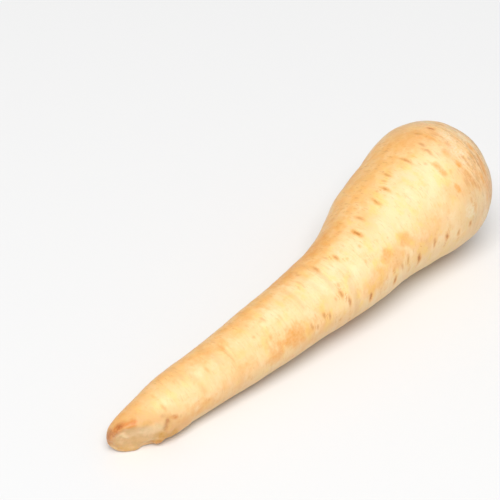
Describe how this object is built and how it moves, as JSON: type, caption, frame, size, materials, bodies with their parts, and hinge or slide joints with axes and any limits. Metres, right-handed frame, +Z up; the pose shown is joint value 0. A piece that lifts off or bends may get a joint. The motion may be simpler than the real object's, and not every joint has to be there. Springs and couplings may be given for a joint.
{
  "type": "parsley root",
  "caption": "Washed, topped parsley root lying on its side: broad rounded shoulder, long taper with a slight bow, blunt broken tail and cut leaf stalks at the crown.",
  "frame": {"origin": "On the resting surface, under the middle of the root's bounding box.", "axes": "+X along the root towards the crown, the tail points to -X. +Z is up, away from the surface the root lies on. +Y completes the right-handed frame."},
  "size_m": [0.1688, 0.0468, 0.0454],
  "materials": {
    "root_skin": null
  },
  "bodies": {
    "root": {"root": "root_skin"}
  },
  "joints": []
}
